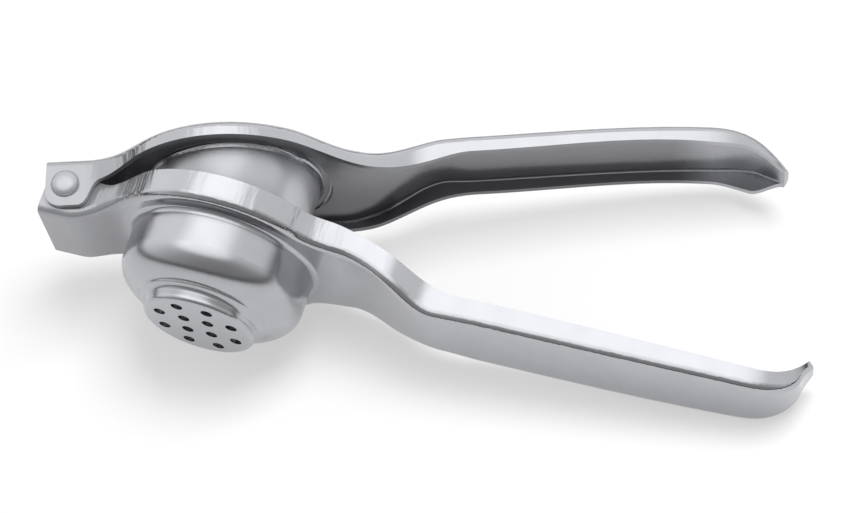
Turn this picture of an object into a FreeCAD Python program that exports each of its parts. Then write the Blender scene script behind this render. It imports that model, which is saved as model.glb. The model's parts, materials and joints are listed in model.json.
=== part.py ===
import FreeCAD, Part
import math
import os

# A hinged lemon squeezer of pressed stainless sheet, lying open on its side.
# Two channel-shaped arms turn on one rivet: the cup arm carries a deep bowl with a
# perforated strainer in its floor, the presser arm a round dome that enters the bowl.
# All sizes are millimetres and degrees.
#
# Arm frame: the hinge axis is Y through the origin, +X runs along the arm to its tip,
# and +Z points from the cup arm to the presser arm. A knot is (x, y or z, heading):
# a point of an outline and the direction in which the outline passes through it.

V = FreeCAD.Vector

# Sheet and fits
SHEET = 1.6            # thickness of both arms
FOLD_R = 2.1           # outer radius of the fold between web and side walls
SIDE_GAP = 0.35        # space between the side walls of the two arms
OPEN_ANGLE = 17.0      # angle between the arms as the squeezer lies

# Rivet
SHANK_R = 2.5
SHANK_PLAY = 0.08      # radial running clearance in the cup arm's holes
HEAD_R = 3.8
HEAD_RISE = 1.9
HEAD_RIM = 0.5         # height of the head's upright edge

# Cup arm in plan, half widths and places from the hinge axis
BOWL_X = 43.7          # centre of bowl, rim and dome
EAR_R = 5.7            # rounded rear end of the side walls
TAIL_HALF = 13.05
TAIL_STRAIGHT = 5.5    # straight side walls end here
RIM_R = 31.0           # outer radius of the round rim
RIM_IN = 52.0          # angle of the rim where the tail joins it
RIM_OUT = 44.0         # angle of the rim where the neck joins it
NECK_X = 78.0
NECK_HALF = 17.3
SHOULDER_X = 90.5
SHOULDER_HALF = 16.1
WAIST_X = 104.5
WAIST_HALF = 11.2
GRIP_X = 118.0
GRIP_HALF = 12.1
GRIP_END_X = 184.0
GRIP_END_HALF = 11.2
TIP_SIDE = (199.0, 7.1, -36)   # the side walls close in towards the tip
TIP_END = (204.0, 1.8, -66)

# Cup arm from the side, outer face of the web
TAIL_DEPTH = 8.3       # web below the hinge axis at the tail
RIM_DEPTH = 3.0        # web below the axis round the bowl
RIM_START_X = 17.5
JOG_X = 78.0           # the web steps outward for the handle
JOG_END_X = 106.0
GRIP_DEPTH = 11.75
GRIP_RISE = 0.85       # the handle's slope towards the other arm
CURL_X = 188.0         # the web curls up to the tip
CURL_END = (201.4, -2.6, 80)
LIP = (203.4, 2.2, 62)

# Cup arm from the side, free edge of the side walls
DIP_X = 12.0
DIP_Z = 2.7
EDGE_X = 24.0
EDGE_Z = 5.0
EDGE_DROP_X = 73.0
EDGE_LOW_X = 113.0
EDGE_LOW_Z = -4.8
EDGE_END = (184.0, -5.3, 0)
EDGE_TIP = (196.5, -3.3, 32)

# Bowl, radii about its own axis and heights of its outer face
BOWL_R = 25.2
BOWL_ROOT_R = 1.5      # fold from web to bowl
BOWL_BEND_Z = -12.5    # the upright wall ends here
RING = (18.4, -20.3, 200)      # upper of the two ridges round the strainer
RING_STEP = (17.8, -20.9, 255)
LEDGE = (17.3, -21.3, 195)     # lower ridge
STEP = (15.9, -22.7, 262)
FLOOR_R = 15.5
FLOOR_EDGE_R = 1.2
FLOOR_Z = -25.1        # outer face of the strainer
HOLE_R = 1.6
HOLE_RINGS = ((4, 4.75), (8, 10.9))   # number of holes and radius of each ring

# Presser arm in plan
PRESS_FLARE = 63.0     # angle of the rim where the straight taper of the neck begins
PRESS_TAPER_X = 84.0
PRESS_TAPER_HALF = 16.4
PRESS_WAIST_X = 99.0
PRESS_WAIST_HALF = 11.9
PRESS_GRIP_X = 109.0
PRESS_GRIP_HALF = 12.5
PRESS_GRIP_END_X = 172.0
PRESS_GRIP_END_HALF = 12.1
PRESS_TIP_SIDE = (184.0, 9.3, -25)
PRESS_TIP_END = (193.3, 2.0, -62)

# Presser arm from the side, outer face of the web
PRESS_TAIL_END = 5.4
PRESS_TAIL_HIGH = 7.6
PRESS_RIM_HIGH = 7.3
PRESS_STEP_X = 60.0
PRESS_STEP_END_X = 77.0
PRESS_NECK_HIGH = 4.3
PRESS_JOG_X = 79.0
PRESS_JOG_END_X = 102.0
PRESS_GRIP_HIGH = 10.5
PRESS_GRIP_FALL = 0.5
PRESS_CURL_X = 174.0
PRESS_CURL_END = (187.0, 5.4, -41)
PRESS_LIP = (192.7, 0.0, -46)

# Presser arm from the side, free edge of the side walls
LUG_DEPTH = 6.5        # the lugs reach this far past the axis
LUG_CORNER_R = 4.4
LUG_FLAT_X = 3.4
LUG_FRONT = (6.6, -2.9, 68)
LUG_TOP = (9.6, 0.7, 8)
PRESS_EDGE_X = 22.0
PRESS_EDGE_Z = 2.8
PRESS_EDGE_DROP_X = 60.0
PRESS_EDGE_LOW_X = 80.5
PRESS_EDGE_LOW_Z = -0.45
PRESS_EDGE_UP_X = 109.0
PRESS_EDGE_UP_Z = 5.4
PRESS_EDGE_END = (172.0, 5.0, -8)
PRESS_EDGE_TIP = (182.5, 0.4, -30)
CUT_BACK = [PRESS_EDGE_END, (181.0, 4.3, -8), (188.3, 1.0, -35)]   # one wall's edge at the tip

# Dome, radii about the bowl's axis and heights of its face towards the bowl
DOME_R = 23.0
DOME_ROOT_R = 1.3
PAN_R = 26.3           # the dome stands in a round pan of this radius
PAN_EDGE_R = 1.2
DOME_LEAN = 12.0       # the flank leans inwards from its root
DOME_FLANK = (19.2, -5.5, 241)
DOME_SHOULDER = (11.5, -12.7, 206)
DOME_FLOOR_Z = -15.0

# Resting attitude of the open squeezer on its side
REST_PITCH = 7.76      # about Y, the bowl's end up
REST_ROLL = 5.09       # about X

FAR = 60.0             # reaches past every part of an arm


def span(start, end):
    """One arc-like cubic between two knots, or a line where they head straight at each other."""
    (x0, y0, a0), (x1, y1, a1) = start, end
    chord = math.hypot(x1 - x0, y1 - y0)
    slant = math.radians(a0) - math.atan2(y1 - y0, x1 - x0)
    if a0 == a1 and math.cos(slant) > 1 - 1e-9:
        return line(start, end)
    turn = math.radians(abs(a1 - a0))
    reach = chord / 3
    if turn > 0.01:
        reach = chord * 2 / 3 * math.tan(turn / 4) / math.sin(turn / 2)
    c0, s0 = math.cos(math.radians(a0)), math.sin(math.radians(a0))
    c1, s1 = math.cos(math.radians(a1)), math.sin(math.radians(a1))
    curve = Part.BezierCurve()
    curve.setPoles([V(x0, y0, 0), V(x0 + reach * c0, y0 + reach * s0, 0),
                    V(x1 - reach * c1, y1 - reach * s1, 0), V(x1, y1, 0)])
    return curve.toShape()


def spans(knots):
    return [span(a, b) for a, b in zip(knots, knots[1:])]


def line(a, b):
    return Part.makeLine(V(a[0], a[1], 0), V(b[0], b[1], 0))


def face_of(edges):
    return Part.Face(Part.Wire(Part.__sortEdges__(edges)))


def beside(knots, distance):
    """The outline that runs beside another one, on its right."""
    moved = []
    for x, y, heading in knots:
        a = math.radians(heading)
        moved.append((x + distance * math.sin(a), y - distance * math.cos(a), heading))
    return moved


def longer(knots, back, on):
    """An outline lengthened straight at its start and at its end."""
    (x0, y0, a0), (x1, y1, a1) = knots[0], knots[-1]
    first = (x0 - back * math.cos(math.radians(a0)), y0 - back * math.sin(math.radians(a0)), a0)
    last = (x1 + on * math.cos(math.radians(a1)), y1 + on * math.sin(math.radians(a1)), a1)
    return [first] + knots + [last]


def plan_block(knots):
    """A tall block whose half widths are the outline's."""
    start, end = knots[0], knots[-1]
    edges = spans(knots) + [line(end, (end[0], 0)), line((end[0], 0), (start[0], 0)),
                            line((start[0], 0), start)]
    half = face_of(edges).extrude(V(0, 0, 2 * FAR))
    half.translate(V(0, 0, -FAR))
    return half.fuse(half.mirror(V(0, 0, 0), V(0, 1, 0))).removeSplitter()


def side_block(edges):
    """A block with the given side view, across the whole width of an arm."""
    face = face_of(edges)
    face.rotate(V(0, 0, 0), V(1, 0, 0), 90)
    face.translate(V(0, FAR, 0))
    return face.extrude(V(0, -2 * FAR, 0))


def ring_solid(edges):
    """A solid of revolution about the bowl's axis, from an outline of radii and heights."""
    face = face_of(edges)
    face.rotate(V(0, 0, 0), V(1, 0, 0), 90)
    face.translate(V(BOWL_X, 0, 0))
    return face.revolve(V(BOWL_X, 0, 0), V(0, 0, 1), 360)


def folded(block, out, radius):
    """The block with the edges between its web side and its side walls rounded."""
    edges = []
    for edge in block.Edges:
        middle = edge.valueAt((edge.FirstParameter + edge.LastParameter) / 2)
        normals = []
        for face in block.ancestorsOfType(edge, Part.Face):
            u, v = face.Surface.parameter(middle)
            normals.append(face.normalAt(u, v))
        walls = [n for n in normals if abs(n.z) < 0.02 and abs(n.y) > 0.2]
        webs = [n for n in normals if n.z * out > 0.02 and abs(n.y) < 0.02]
        if len(walls) == 1 and len(webs) == 1:
            edges.append(edge)
    return block.makeFillet(radius, edges)


def pan(radius, high, edge_radius):
    """A round block under the level high, with a rounded upper edge."""
    edge = (radius, high - edge_radius, 90)
    return ring_solid([line((0, 0), (radius, 0)), line((radius, 0), edge),
                       span(edge, (radius - edge_radius, high, 180)),
                       line((radius - edge_radius, high), (0, high)), line((0, high), (0, 0))])


def channel(plan, web, edge, out, pans=None):
    """A folded channel of sheet; out is -1 with the web below its walls, 1 with it above."""
    side = spans(web) + [line(web[-1], edge[-1])] + spans(edge) + [line(edge[0], web[0])]
    outside = folded(plan_block(plan).common(side_block(side)), out, FOLD_R)
    inner = longer(beside(web, out * SHEET), 9, 30)
    (x0, _, _), (x1, z1, _) = inner[0], inner[-1]
    top = -out * FAR / 2
    side = spans(inner) + [line(inner[-1], (x1, top)), line((x1, top), (x0, top)),
                           line((x0, top), inner[0])]
    room = plan_block(longer(beside(plan, SHEET), 9, 0.5)).common(side_block(side))
    room = folded(room, out, FOLD_R - SHEET)
    if pans:
        outside, room = outside.fuse(pans[0]), room.fuse(pans[1])
    return outside.cut(room)


def rim_knot(radius, angle, side):
    """A knot on the round rim, side -1 towards the hinge and 1 towards the handle."""
    a = math.radians(angle)
    return (BOWL_X + side * radius * math.cos(a), radius * math.sin(a), side * (angle - 90))


def pressed(knots):
    """A shell of revolution made from the outline of one face, the sheet on its right."""
    other = beside(knots, SHEET)
    return ring_solid(spans(knots) + spans(other) + [line(knots[0], other[0]),
                                                     line(knots[-1], other[-1])])


def post(radius, x, z, half=FAR):
    """A round bar across the arm."""
    return Part.makeCylinder(radius, 2 * half, V(x, -half, z), V(0, 1, 0))


def upright(radius, x, y=0.0):
    """A round bar through the web."""
    return Part.makeCylinder(radius, 2 * FAR, V(x, y, -FAR), V(0, 0, 1))


def strainer_holes():
    holes = []
    for count, radius in HOLE_RINGS:
        for k in range(count):
            a = 2 * math.pi * (k + 0.5) / count
            holes.append(upright(HOLE_R, BOWL_X + radius * math.cos(a), radius * math.sin(a)))
    return holes


def cup_arm():
    plan = [(-EAR_R, TAIL_HALF, 0), (TAIL_STRAIGHT, TAIL_HALF, 0),
            rim_knot(RIM_R, RIM_IN, -1), (BOWL_X, RIM_R, 0), rim_knot(RIM_R, RIM_OUT, 1),
            (NECK_X, NECK_HALF, -13), (SHOULDER_X, SHOULDER_HALF, -7), (WAIST_X, WAIST_HALF, 0),
            (GRIP_X, GRIP_HALF, 0), (GRIP_END_X, GRIP_END_HALF, -3),
            TIP_SIDE, TIP_END]
    web = [(-EAR_R, -TAIL_DEPTH, 0), (2.0, -TAIL_DEPTH, 0), (RIM_START_X, -RIM_DEPTH, 0),
           (JOG_X, -RIM_DEPTH, 0), (JOG_END_X, -GRIP_DEPTH, 0),
           (CURL_X, -GRIP_DEPTH + GRIP_RISE, 2), CURL_END, LIP]
    edge = [(-EAR_R, 0, 90), (0, EAR_R, 0), (DIP_X, DIP_Z, 0), (EDGE_X, EDGE_Z, 0),
            (EDGE_DROP_X, EDGE_Z, 0), (EDGE_LOW_X, EDGE_LOW_Z, 0), EDGE_END, EDGE_TIP,
            beside([LIP], -SHEET)[0]]
    body = channel(plan, web, edge, -1)
    root = BOWL_R + BOWL_ROOT_R
    bowl = pressed([(root, -RIM_DEPTH, 180), (BOWL_R, -RIM_DEPTH - BOWL_ROOT_R, 270),
                    (BOWL_R, BOWL_BEND_Z, 270), RING, RING_STEP, LEDGE, STEP,
                    (FLOOR_R, FLOOR_Z + FLOOR_EDGE_R, 270),
                    (FLOOR_R - FLOOR_EDGE_R, FLOOR_Z, 180), (0, FLOOR_Z, 180)])
    body = body.cut(upright(root, BOWL_X)).fuse(bowl)
    return body.cut(strainer_holes() + [post(SHANK_R + SHANK_PLAY, 0, 0)])


def below_cut_back_edge():
    """The room below the free edge of the wall that is cut back at the presser arm's tip."""
    edge = CUT_BACK + [beside([PRESS_LIP], SHEET)[0]]
    first, last = (edge[0][0], -FAR), (edge[-1][0], -FAR)
    room = side_block(spans(edge) + [line(edge[-1], last), line(last, first), line(first, edge[0])])
    room.translate(V(0, -FAR, 0))
    return room


def presser_arm():
    wide = SIDE_GAP + SHEET
    rim = RIM_R + wide
    plan = [(-PRESS_TAIL_END, TAIL_HALF + wide, 0), (TAIL_STRAIGHT, TAIL_HALF + wide, 0),
            rim_knot(rim, RIM_IN, -1), (BOWL_X, rim, 0), rim_knot(rim, PRESS_FLARE, 1),
            (PRESS_TAPER_X, PRESS_TAPER_HALF, PRESS_FLARE - 90),
            (PRESS_WAIST_X, PRESS_WAIST_HALF, 0), (PRESS_GRIP_X, PRESS_GRIP_HALF, 0),
            (PRESS_GRIP_END_X, PRESS_GRIP_END_HALF, -2),
            PRESS_TIP_SIDE, PRESS_TIP_END]
    web = [(-PRESS_TAIL_END, PRESS_TAIL_HIGH, 0), (8.0, PRESS_TAIL_HIGH, 0),
           (20.0, PRESS_RIM_HIGH, 0), (PRESS_STEP_X, PRESS_RIM_HIGH, 0),
           (PRESS_STEP_END_X, PRESS_NECK_HIGH, 0), (PRESS_JOG_X, PRESS_NECK_HIGH, 0),
           (PRESS_JOG_END_X, PRESS_GRIP_HIGH, 0),
           (PRESS_CURL_X, PRESS_GRIP_HIGH - PRESS_GRIP_FALL, -5), PRESS_CURL_END, PRESS_LIP]
    back, low = -PRESS_TAIL_END, -LUG_DEPTH
    edge = [(back, low + LUG_CORNER_R, -90), (back + LUG_CORNER_R, low, 0), (LUG_FLAT_X, low, 0),
            LUG_FRONT, LUG_TOP, (PRESS_EDGE_X, PRESS_EDGE_Z, 0),
            (PRESS_EDGE_DROP_X, PRESS_EDGE_Z, 0), (PRESS_EDGE_LOW_X, PRESS_EDGE_LOW_Z, 0),
            (PRESS_EDGE_UP_X, PRESS_EDGE_UP_Z, 0), PRESS_EDGE_END, PRESS_EDGE_TIP,
            beside([PRESS_LIP], SHEET)[0]]
    inner = PRESS_RIM_HIGH - SHEET
    pans = (pan(PAN_R + SHEET, PRESS_RIM_HIGH, PAN_EDGE_R + SHEET), pan(PAN_R, inner, PAN_EDGE_R))
    body = channel(plan, web, edge, 1, pans)
    root = DOME_R + DOME_ROOT_R
    dome = pressed([(root, inner, 180), (DOME_R, inner - DOME_ROOT_R, 270 - DOME_LEAN),
                    DOME_FLANK, DOME_SHOULDER, (0, DOME_FLOOR_Z, 180)])
    body = body.cut(upright(root, BOWL_X)).fuse(dome)
    return body.cut([below_cut_back_edge(), post(SHANK_R, 0, 0)])


def hinge_rivet():
    """One rivet through all four side walls, with a formed head at each end."""
    seat = TAIL_HALF + SIDE_GAP + SHEET
    rivet = post(SHANK_R, 0, 0, seat)
    head = face_of([line((0, 0), (HEAD_R, 0)), line((HEAD_R, 0), (HEAD_R, HEAD_RIM)),
                    span((HEAD_R, HEAD_RIM, 115), (0, HEAD_RISE, 180)),
                    line((0, HEAD_RISE), (0, 0))]).revolve(V(0, 0, 0), V(0, 1, 0), 360)
    head.translate(V(0, seat, 0))
    return rivet.fuse([head, head.mirror(V(0, 0, 0), V(0, 1, 0))])


def laid(shape, angle):
    """An arm's shape opened by the angle and laid on its side in the resting attitude."""
    centre = V(0, 0, 0)
    shape.rotate(centre, V(0, -1, 0), angle)
    shape.rotate(centre, V(1, 0, 0), -90)
    shape.rotate(centre, V(0, 1, 0), REST_PITCH)
    shape.rotate(centre, V(1, 0, 0), REST_ROLL)
    return shape


def pieces():
    """All pieces where they lie, the origin under the middle of the whole."""
    placed = {"cup_arm": laid(cup_arm(), 0), "presser_arm": laid(presser_arm(), OPEN_ANGLE),
              "hinge_rivet": laid(hinge_rivet(), OPEN_ANGLE)}
    box = Part.makeCompound(list(placed.values())).optimalBoundingBox(False)
    for shape in placed.values():
        shape.translate(V(-box.Center.x, -box.Center.y, -box.ZMin))
    return placed


if __name__ == "__main__":
    os.makedirs("parts", exist_ok=True)
    for name, shape in pieces().items():
        shape.exportStep("parts/" + name + ".step")
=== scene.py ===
"""Looks of a hinged lemon squeezer of pressed, polished steel, lying open on its side.

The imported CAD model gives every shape. This script gives each piece its finish, and sets up a
pale floor, a soft studio and the camera.
"""

from __future__ import annotations

import json
import logging
import math
from dataclasses import dataclass
from enum import Enum
from typing import Any

import bpy
from mathutils import Matrix, Vector

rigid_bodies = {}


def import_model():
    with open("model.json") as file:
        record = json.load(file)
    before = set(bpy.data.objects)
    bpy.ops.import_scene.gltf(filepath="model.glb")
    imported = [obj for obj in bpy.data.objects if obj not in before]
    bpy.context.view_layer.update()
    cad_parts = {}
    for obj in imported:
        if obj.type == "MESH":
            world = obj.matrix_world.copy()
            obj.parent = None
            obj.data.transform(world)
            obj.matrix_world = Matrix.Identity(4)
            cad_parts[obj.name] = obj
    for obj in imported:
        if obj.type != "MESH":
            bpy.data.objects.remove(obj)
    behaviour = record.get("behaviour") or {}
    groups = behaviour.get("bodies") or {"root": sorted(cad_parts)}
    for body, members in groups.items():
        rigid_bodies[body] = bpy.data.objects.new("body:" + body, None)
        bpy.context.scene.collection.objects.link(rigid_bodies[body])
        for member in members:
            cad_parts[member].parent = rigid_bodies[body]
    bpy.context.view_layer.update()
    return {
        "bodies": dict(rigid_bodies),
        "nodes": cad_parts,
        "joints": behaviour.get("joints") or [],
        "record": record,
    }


log = logging.getLogger("squeezer")

IMAGE_WIDTH = 862        # the photograph's frame, in pixels
SENSOR_WIDTH = 36.0      # of the camera, millimetres
MILLIMETRES = 1000.0     # in a metre
ORIGIN = Vector((0.0, 0.0, 0.0))
UP = Vector((0.0, 0.0, 1.0))
WHITE = (1.0, 1.0, 1.0, 1.0)
Colour = tuple[float, float, float, float]


class WebSide(Enum):
    """Where an arm's web lies, along the arm's Z: the way from the web to its walls."""

    BELOW = 1.0
    ABOVE = -1.0


class Value:
    """A number that comes out of a shader node, with arithmetic that adds Math nodes."""

    def __init__(self, shader: Shader, socket: bpy.types.NodeSocket) -> None:
        """Wraps an output socket of a shader's tree."""
        self.shader = shader
        self.socket = socket

    def maths(self, operation: str, first: Any, second: Any = 0.0) -> Value:
        """Adds one Math node.

        Args:
            operation: the node's operation.
            first: a Value or a number.
            second: a Value or a number.

        Returns:
            The node's result.
        """
        terms = {0: first, 1: second}
        return self.shader.value("ShaderNodeMath", {"operation": operation}, terms)

    def __add__(self, other: Any) -> Value:
        """The sum."""
        return self.maths("ADD", self, other)

    def __sub__(self, other: Any) -> Value:
        """The difference."""
        return self.maths("SUBTRACT", self, other)

    def __mul__(self, other: Any) -> Value:
        """The product."""
        return self.maths("MULTIPLY", self, other)

    def __pow__(self, other: Any) -> Value:
        """The power."""
        return self.maths("POWER", self, other)

    def __neg__(self) -> Value:
        """The negative."""
        return self.maths("MULTIPLY", self, -1.0)

    def __rsub__(self, other: Any) -> Value:
        """The difference with the number first."""
        return self.maths("SUBTRACT", other, self)

    __radd__ = __add__
    __rmul__ = __mul__

    def most(self, other: Any) -> Value:
        """The greater of the two."""
        return self.maths("MAXIMUM", self, other)

    def sign(self) -> Value:
        """1 where positive, -1 where negative."""
        return self.maths("SIGN", self)

    def step(self, low: float, high: float) -> Value:
        """A smooth step, 0 at low and 1 at high."""
        return self.shader.value("ShaderNodeMapRange", {"interpolation_type": "SMOOTHSTEP"},
                                 {"Value": self, "From Min": low, "From Max": high})


class Shader:
    """A node tree under construction, for a material or the world."""

    def __init__(self, tree: bpy.types.NodeTree) -> None:
        """Empties the tree."""
        self.tree = tree
        tree.nodes.clear()

    def node(self, kind: str, settings: dict[str, Any] | None = None,
             sockets: dict[Any, Any] | None = None) -> bpy.types.Node:
        """Adds a node.

        Args:
            kind: the node's type.
            settings: its properties, which are set before the sockets.
            sockets: a number, a colour, a Value or an output socket for each input, by the
                input's name or place.

        Returns:
            The node.
        """
        node = self.tree.nodes.new(kind)
        for name, setting in (settings or {}).items():
            setattr(node, name, setting)
        for key, term in (sockets or {}).items():
            if isinstance(term, Value):
                term = term.socket
            if isinstance(term, bpy.types.NodeSocket):
                self.tree.links.new(term, node.inputs[key])
            else:
                node.inputs[key].default_value = term
        return node

    def value(self, kind: str, settings: dict[str, Any] | None = None,
              sockets: dict[Any, Any] | None = None, output: Any = 0) -> Value:
        """Adds a node as node() does, and gives one of its outputs as a Value."""
        return Value(self, self.node(kind, settings, sockets).outputs[output])

    def coordinate(self, name: str) -> bpy.types.NodeSocket:
        """An output of the Texture Coordinate node."""
        return self.node("ShaderNodeTexCoord").outputs[name]

    def along(self, vector: bpy.types.NodeSocket, axis: Vector, start: Vector) -> Value:
        """How far a vector is past a start, measured along an axis."""
        way = self.node("ShaderNodeVectorMath", {"operation": "SUBTRACT"}, {0: vector, 1: start})
        return self.value("ShaderNodeVectorMath", {"operation": "DOT_PRODUCT"},
                          {0: way.outputs["Vector"], 1: axis}, "Value")

    def vector(self, x: Any, y: Any, z: Any) -> bpy.types.NodeSocket:
        """A vector of three Values."""
        parts = {"X": x, "Y": y, "Z": z}
        return self.node("ShaderNodeCombineXYZ", sockets=parts).outputs["Vector"]

    def noise(self, point: bpy.types.NodeSocket, scale: float, detail: float) -> Value:
        """A cloudy pattern between 0 and 1, about 0.5, with scale cells to the unit."""
        terms = {"Vector": point, "Scale": scale, "Detail": detail}
        return self.value("ShaderNodeTexNoise", sockets=terms, output="Fac")

    def blend(self, share: Value, first: Any, second: Any) -> bpy.types.NodeSocket:
        """A colour between two colours, the first where the share is 0.

        The Mix node keeps its colour inputs at places 6 and 7, and its colour output at 2.
        """
        mix = self.node("ShaderNodeMix", {"data_type": "RGBA"}, {0: share, 6: first, 7: second})
        return mix.outputs[2]

    def finish(self, kind: str, surface: bpy.types.NodeSocket) -> None:
        """Adds the tree's output node of a kind, fed by a surface."""
        self.node(kind, sockets={"Surface": surface})


def new_material(name: str) -> tuple[bpy.types.Material, Shader]:
    """Makes a material whose tree is still empty.

    Args:
        name: the material's name.

    Returns:
        The material and the shader that builds its tree.
    """
    material = bpy.data.materials.new(name)
    material.use_nodes = True
    return material, Shader(material.node_tree)


@dataclass(frozen=True)
class ArmFrame:
    """An arm's own axes: X along the arm from the hinge, Y along the rivet, Z across both.

    Z points from the cup arm to the presser arm when the squeezer is shut.
    """

    hinge: tuple[float, float, float]
    pitch: float = 7.76          # the lying squeezer's turn about Y, degrees
    roll: float = 5.09           # its turn about X, degrees
    opened: float = 0.0          # degrees that the arm is turned open about the rivet

    def axes(self) -> list[Vector]:
        """Turns the arm's axes open, lays them on their side, then pitches and rolls them.

        Returns:
            The arm's X, Y and Z in the frame of the whole.
        """
        on_its_side = -90.0
        turns = ((self.roll, "X"), (self.pitch, "Y"), (on_its_side, "X"), (-self.opened, "Y"))
        whole = Matrix.Identity(3)
        for angle, axis in turns:
            whole = whole @ Matrix.Rotation(math.radians(angle), 3, axis)
        return list(whole.col)

    def place(self, shader: Shader) -> list[Value]:
        """The surface point in the arm's frame, in millimetres.

        Args:
            shader: the material under construction.

        Returns:
            The point's X, Y and Z, each measured along an axis from the hinge.
        """
        point = shader.coordinate("Object")
        hinge = Vector(self.hinge)
        return [shader.along(point, axis, hinge) * MILLIMETRES for axis in self.axes()]

    def facing(self, shader: Shader) -> list[Value]:
        """The surface's normal in the arm's frame: its X, Y and Z."""
        normal = shader.coordinate("Normal")
        return [shader.along(normal, axis, ORIGIN) for axis in self.axes()]


@dataclass(frozen=True)
class Face:
    """How one kind of face of the sheet is finished; some greys are painted shade or light."""

    level: float                 # its grey
    rough: float = 0.0           # added to the sheet's roughness
    dull: float = 0.0            # the share of the metal's gloss that it loses

    def colour(self) -> Colour:
        """The cool grey of stainless steel at the level."""
        return (self.level * 0.99, self.level, self.level * 1.05, 1.0)


@dataclass(frozen=True)
class Relief:
    """A pattern of shallow hollows and rises, in millimetres."""

    spacing: float               # from one hollow to the next
    depth: float
    detail: float                # octaves of finer pattern on it
    stretch: float = 1.0         # how many times longer than wide it is

    def pattern(self, shader: Shader, point: bpy.types.NodeSocket) -> Value:
        """The relief before its depth, between 0 and 1, at a point in millimetres."""
        return shader.noise(point, 1 / self.spacing, self.detail)


@dataclass(frozen=True)
class PressedSteel:
    """Pressed stainless sheet, polished outside, duller and painted with shade in its folds.

    The faces of the channel that look at its own hollow are rougher, and darker with painted
    shade, which can be deeper on their +Y side. The tail, where the arms were riveted together,
    is duller, and the round pressing has a finish of its own: rougher, and on the presser a
    lighter grey that is a painted reflection. Shallow waves bend the reflections, streaks cross
    the wall round the rim, where the sheet was stretched, and fine scratches run along the arm.
    Lengths are millimetres in the arm's frame.
    """

    name: str
    frame: ArmFrame
    web: WebSide = WebSide.BELOW
    outside: Face = Face(0.47)
    # painted shade: the darker grey of the channel's hollow faces stands in for the shade there;
    # their roughness and dullness are the finish
    inside_shade_and_finish: Face = Face(0.24, rough=0.10)
    tail: Face = Face(0.36, rough=0.12, dull=0.45)
    # the pressing's own grey and finish; on the presser a lighter grey, a painted reflection
    pressing: Face = Face(0.47, rough=0.11)

    inner_from: float = 55.0     # the inner painted shade and finish begin this far along the arm
    inner_to: float = 175.0      # and end here
    inner_fade: float = 20.0
    shade: float = 0.0           # painted shade: how much less of the inner painted shade the -Y side gets, leaving the +Y side darkest
    shade_half: float = 9.0      # the shade changes this far to each side of the middle
    tip_rough: float = 0.0       # added to the roughness past the end of the inner painted shade and finish
    tail_end: float = 9.0
    tail_fade: float = 20.0

    bowl_x: float = 43.7         # the round pressing's centre
    pressing_r: float = 27.0
    pressing_fade: float = 2.5
    rim_r: float = 36.0          # the stretched wall round it ends here
    rim_fade: float = 12.0

    roughness: float = 0.09
    haze: float = 0.06           # how much the roughness varies
    haze_scale: float = 0.15     # clouds of haze to the millimetre
    haze_detail: float = 5.0
    scratch_rough: float = 0.03  # what scratches add to the roughness
    tarnish: float = 0.12        # how much the clouds darken the grey
    waves: Relief = Relief(9.0, 0.05, 1.0)
    streaks: Relief = Relief(2.2, 0.16, 2.0, stretch=5.0)
    scratches: Relief = Relief(0.16, 0.002, 3.0, stretch=50.0)

    def material(self) -> bpy.types.Material:
        """Builds the finish on Object coordinates, so that it is the same from every side.

        Returns:
            The material.
        """
        material, shader = new_material(self.name)
        x, y, z = self.frame.place(shader)
        pressing, rim = self.round_zones(shader, x, y)
        inner = self.inner_faces(shader, x, y) * (1 - pressing)
        tail = 1 - x.step(self.tail_end, self.tail_end + self.tail_fade)
        tip = x.step(self.inner_to - self.inner_fade, self.inner_to)

        point = shader.vector(x, y, z)
        crossing = shader.vector(x, y, z * (1 / self.streaks.stretch))
        lengthwise = shader.vector(x * (1 / self.scratches.stretch), y, z)
        clouds = shader.noise(point, self.haze_scale, self.haze_detail)
        scratched = self.scratches.pattern(shader, lengthwise)

        # painted shade: full on the inner faces' +Y side, less by shade on their -Y side
        shaded = 1 - (1 - y.step(-self.shade_half, self.shade_half)) * self.shade
        colour = shader.blend(tail, self.outside.colour(), self.tail.colour())
        # painted shade: the faces in the channel's hollow get a darker grey that stands in for
        # its shade
        colour = shader.blend(inner * shaded, colour, self.inside_shade_and_finish.colour())
        # painted reflection: on the presser the pressing's lighter grey stands in for its bright
        # reflection
        colour = shader.blend(pressing, colour, self.pressing.colour())
        colour = shader.blend(clouds * self.tarnish, colour, Face(0.0).colour())

        rough = (clouds * self.haze + scratched * self.scratch_rough
                 + (self.roughness - self.haze / 2) + inner * self.inside_shade_and_finish.rough
                 + tail * self.tail.rough + pressing * self.pressing.rough
                 + tip * self.tip_rough)
        dull = (inner * self.inside_shade_and_finish.dull).most(tail * self.tail.dull)
        dull = dull.most(pressing * self.pressing.dull)
        height = (self.waves.pattern(shader, point) * self.waves.depth
                  + self.streaks.pattern(shader, crossing) * rim * self.streaks.depth
                  + scratched * self.scratches.depth) * (1 / MILLIMETRES)

        bump = shader.node("ShaderNodeBump", sockets={"Height": height, "Distance": 1.0})
        steel = shader.node("ShaderNodeBsdfPrincipled", sockets={
            "Base Color": colour, "Metallic": 1 - dull, "Roughness": rough,
            "Normal": bump.outputs["Normal"]})
        shader.finish("ShaderNodeOutputMaterial", steel.outputs["BSDF"])
        return material

    def round_zones(self, shader: Shader, x: Value, y: Value) -> tuple[Value, Value]:
        """The round pressing, and the upright wall round it where the sheet was stretched.

        Args:
            shader: the material under construction.
            x: the surface point's X in the arm's frame.
            y: its Y.

        Returns:
            Two masks, both by the distance from the pressing's axis.
        """
        off = x - self.bowl_x
        radius = (off * off + y * y) ** 0.5
        pressing = 1 - radius.step(self.pressing_r, self.pressing_r + self.pressing_fade)
        _, _, nz = self.frame.facing(shader)
        upright = 1 - (nz * nz).step(0.05, 0.35)
        near = 1 - radius.step(self.rim_r, self.rim_r + self.rim_fade)
        return pressing, near * (1 - pressing) * upright

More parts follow.
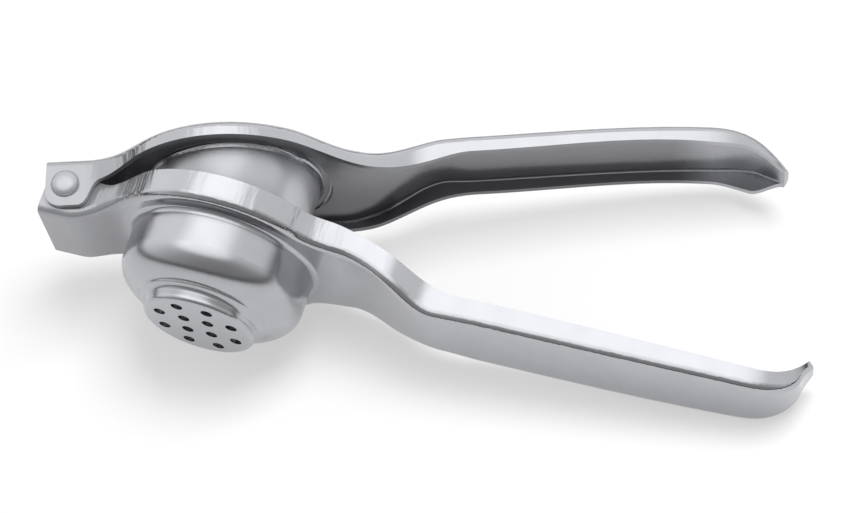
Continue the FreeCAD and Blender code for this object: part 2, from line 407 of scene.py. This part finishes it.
    def inner_faces(self, shader: Shader, x: Value, y: Value) -> Value:
        """The faces that look at the channel's hollow: off the web, or towards the middle.

        Args:
            shader: the material under construction.
            x: the surface point's X in the arm's frame.
            y: its Y.

        Returns:
            A mask, faded at both ends of the inner painted shade and finish.
        """
        _, ny, nz = self.frame.facing(shader)
        slanted, square = 0.80, 0.97    # shares of the normal across a face
        web = (nz * self.web.value).step(slanted, square)
        wall = (-(ny * y.sign())).step(slanted, square)
        begun = x.step(self.inner_from, self.inner_from + self.inner_fade)
        ended = x.step(self.inner_to - self.inner_fade, self.inner_to)
        return web.most(wall) * begun * (1 - ended)


@dataclass
class SteelPiece:
    """A CAD node that keeps its shape and gets a finish."""

    node: str
    finish: PressedSteel

    def dress(self, frame: dict[str, Any]) -> None:
        """Puts the finish on every material slot of the node.

        Args:
            frame: the loaded frame.
        """
        piece = frame["nodes"][self.node]
        material = self.finish.material()
        if not piece.material_slots:
            piece.data.materials.append(material)
        for slot in piece.material_slots:
            slot.material = material
        log.info("%s dressed in %s", self.node, self.finish.name)


@dataclass
class Squeezer:
    """The whole tool: two arms and the rivet they turn on."""

    opened: float = 17.0         # degrees between the arms as it lies

    def build(self, frame: dict[str, Any]) -> None:
        """Dresses every piece.

        Args:
            frame: the loaded frame, whose hinge is both arms' origin.
        """
        joint = next(joint for joint in frame["joints"] if joint["name"] == "arm_hinge")
        hinge = tuple(joint["pos_m"])
        cup = PressedSteel("cup_steel", ArmFrame(hinge))
        # painted shade: the presser's inner faces are painted much darker along the whole arm,
        # most on their +Y side; their extra roughness and dullness are the finish
        presser = PressedSteel(
            "presser_steel", ArmFrame(hinge, opened=self.opened), web=WebSide.ABOVE,
            outside=Face(0.44), inside_shade_and_finish=Face(0.18, rough=0.10, dull=0.35),
            # painted reflection: the pressing's lighter grey stands in for the dome's bright
            # reflection; its roughness and dullness are the finish
            pressing=Face(0.62, rough=0.22, dull=0.40), inner_from=-20.0, inner_fade=14.0,
            tail_fade=14.0, shade=0.35, tip_rough=0.16, pressing_r=22.4, pressing_fade=1.2)
        rivet = PressedSteel("rivet_steel", ArmFrame(hinge), inside_shade_and_finish=Face(0.47, rough=0.10),
                             tail=Face(0.42, rough=0.12, dull=0.45), rim_r=0.0)
        for piece in (SteelPiece("cup_arm", cup), SteelPiece("presser_arm", presser),
                      SteelPiece("hinge_rivet", rivet)):
            piece.dress(frame)


@dataclass
class Floor:
    """A plain white floor that keeps the object's shadow."""

    half: float = 1.5            # half its side, metres
    colour: Colour = (0.80, 0.80, 0.81, 1.0)
    seen_white: float = 0.45     # the share of plain white in what is seen of it

    def build(self) -> None:
        """Makes the floor as a flat square under the object."""
        mesh = bpy.data.meshes.new("floor")
        h = self.half
        mesh.from_pydata([(-h, -h, 0), (h, -h, 0), (h, h, 0), (-h, h, 0)], [], [(0, 1, 2, 3)])
        floor = bpy.data.objects.new("floor", mesh)
        bpy.context.scene.collection.objects.link(floor)
        mesh.materials.append(self.material())
        log.info("floor laid")

    def material(self) -> bpy.types.Material:
        """A matt white, in part plain white where it is seen, directly or in the metal.

        Returns:
            The material.
        """
        material, shader = new_material("floor_white")
        path = shader.node("ShaderNodeLightPath")
        camera, mirrored, through = (Value(shader, path.outputs[name]) for name in
                                     ("Is Camera Ray", "Is Glossy Ray", "Is Transmission Ray"))
        seen = camera.most(mirrored).most(through) * self.seen_white
        matt = shader.node("ShaderNodeBsdfDiffuse", sockets={"Color": self.colour})
        plain = shader.node("ShaderNodeEmission", sockets={"Color": WHITE, "Strength": 1.0})
        both = shader.node("ShaderNodeMixShader", sockets={
            0: seen, 1: matt.outputs["BSDF"], 2: plain.outputs["Emission"]})
        shader.finish("ShaderNodeOutputMaterial", both.outputs["Shader"])
        return material


@dataclass(frozen=True)
class Lamp:
    """A soft box: a flat rectangular lamp that looks at a point."""

    name: str
    place: tuple[float, float, float]
    aim: tuple[float, float, float]
    width: float                 # metres
    height: float
    power: float                 # watts

    def build(self) -> None:
        """Hangs the lamp."""
        light = bpy.data.lights.new(self.name, "AREA")
        light.shape = "RECTANGLE"
        light.size = self.width
        light.size_y = self.height
        light.energy = self.power
        lamp = bpy.data.objects.new(self.name, light)
        bpy.context.scene.collection.objects.link(lamp)
        lamp.visible_glossy = False
        lamp.location = self.place
        way = Vector(self.aim) - Vector(self.place)
        lamp.rotation_euler = way.to_track_quat("-Z", "Y").to_euler()
        log.info("%s hung", self.name)


@dataclass
class Eye:
    """The camera, placed by a point on its axis, its distance and three angles."""

    aim: tuple[float, float, float] = (0.00298, -0.01116, 0.03)
    distance: float = 0.69658
    heading: float = 123.586      # degrees from +X to where it looks, seen from above
    down: float = 54.881          # degrees that it looks down
    roll: float = 18.994          # degrees that it is turned about its axis
    focal: float = 2639.0         # focal length in the photograph's pixels

    def build(self) -> None:
        """Sets up the scene's camera: it looks along the heading, tipped down, then rolled."""
        data = bpy.data.cameras.new("camera")
        data.sensor_fit = "HORIZONTAL"
        data.sensor_width = SENSOR_WIDTH
        data.lens = self.focal / IMAGE_WIDTH * SENSOR_WIDTH
        data.clip_start = 0.01
        eye = bpy.data.objects.new("camera", data)
        bpy.context.scene.collection.objects.link(eye)
        turn = Matrix.Rotation(math.radians(self.heading - 90), 4, "Z")
        tip = Matrix.Rotation(math.radians(90 - self.down), 4, "X")
        roll = Matrix.Rotation(math.radians(-self.roll), 4, "Z")
        back = Matrix.Translation((0, 0, self.distance))
        eye.matrix_world = Matrix.Translation(self.aim) @ turn @ tip @ roll @ back
        bpy.context.scene.camera = eye
        log.info("camera at %s", tuple(round(c, 4) for c in eye.matrix_world.translation))


@dataclass
class Studio:
    """Floor, lamps, surroundings and camera.

    The surroundings are a light tent: bright overhead and behind the object, dim on the
    camera's side and at the level of the table's edge.
    """

    dim: float = 0.34             # the tent's dimmest wall
    bright_way: float = 110.0     # degrees from +X to the brightest wall
    wall: float = 0.95            # what that wall adds
    wall_from: float = -1.0       # the share along the bright way where it begins
    wall_full: float = 0.6        # and where it is full
    roof: float = 0.85            # what its roof adds
    roof_from: float = 0.75       # the share of up where it begins
    roof_full: float = 0.95       # and where it is full
    edge: float = 0.05            # how bright the tent is at the level of the table's edge
    edge_height: float = 0.24     # the share of up where the dark edge ends
    dusk: float = 0.62            # what the tent sheds on matt surfaces
    lamps: tuple[Lamp, ...] = (
        Lamp("overhead_box", (0.20, 0.14, 0.85), (0.0, 0.0, 0.0), 0.40, 0.40, 6.8),
    )

    def build(self) -> None:
        """Sets up everything around the object."""
        Floor().build()
        for lamp in self.lamps:
            lamp.build()
        self.tent()
        Eye().build()

    def tent(self) -> None:
        """The light tent, as the world's brightness by direction.

        Walls: dim plus a smooth step of the direction's share along the bright way. Roof: a
        smooth step of its height. Table's edge: a smooth step just above the horizon. Matt
        surfaces get an even, weaker light, so that the lamp's shadow stays.
        """
        world = bpy.data.worlds.new("tent")
        world.use_nodes = True
        shader = Shader(world.node_tree)
        way = shader.coordinate("Generated")
        up = shader.along(way, UP, ORIGIN)
        turn = math.radians(self.bright_way)
        bright = shader.along(way, Vector((math.cos(turn), math.sin(turn), 0.0)), ORIGIN)
        walls = bright.step(self.wall_from, self.wall_full) * self.wall + self.dim
        rim = up.step(0.0, self.edge_height) * (1 - self.edge) + self.edge
        light = walls * rim + up.step(self.roof_from, self.roof_full) * self.roof
        mirrored = shader.value("ShaderNodeLightPath", output="Is Glossy Ray")
        strength = light * mirrored + (1 - mirrored) * self.dusk
        glow = shader.node("ShaderNodeBackground", sockets={"Color": WHITE, "Strength": strength})
        shader.finish("ShaderNodeOutputWorld", glow.outputs["Background"])
        bpy.context.scene.world = world


def main() -> None:
    """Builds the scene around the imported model."""
    logging.basicConfig(level=logging.INFO)
    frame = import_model()
    bpy.context.scene.view_settings.view_transform = "Standard"
    Squeezer().build(frame)
    Studio().build()


if __name__ == "__main__":
    main()
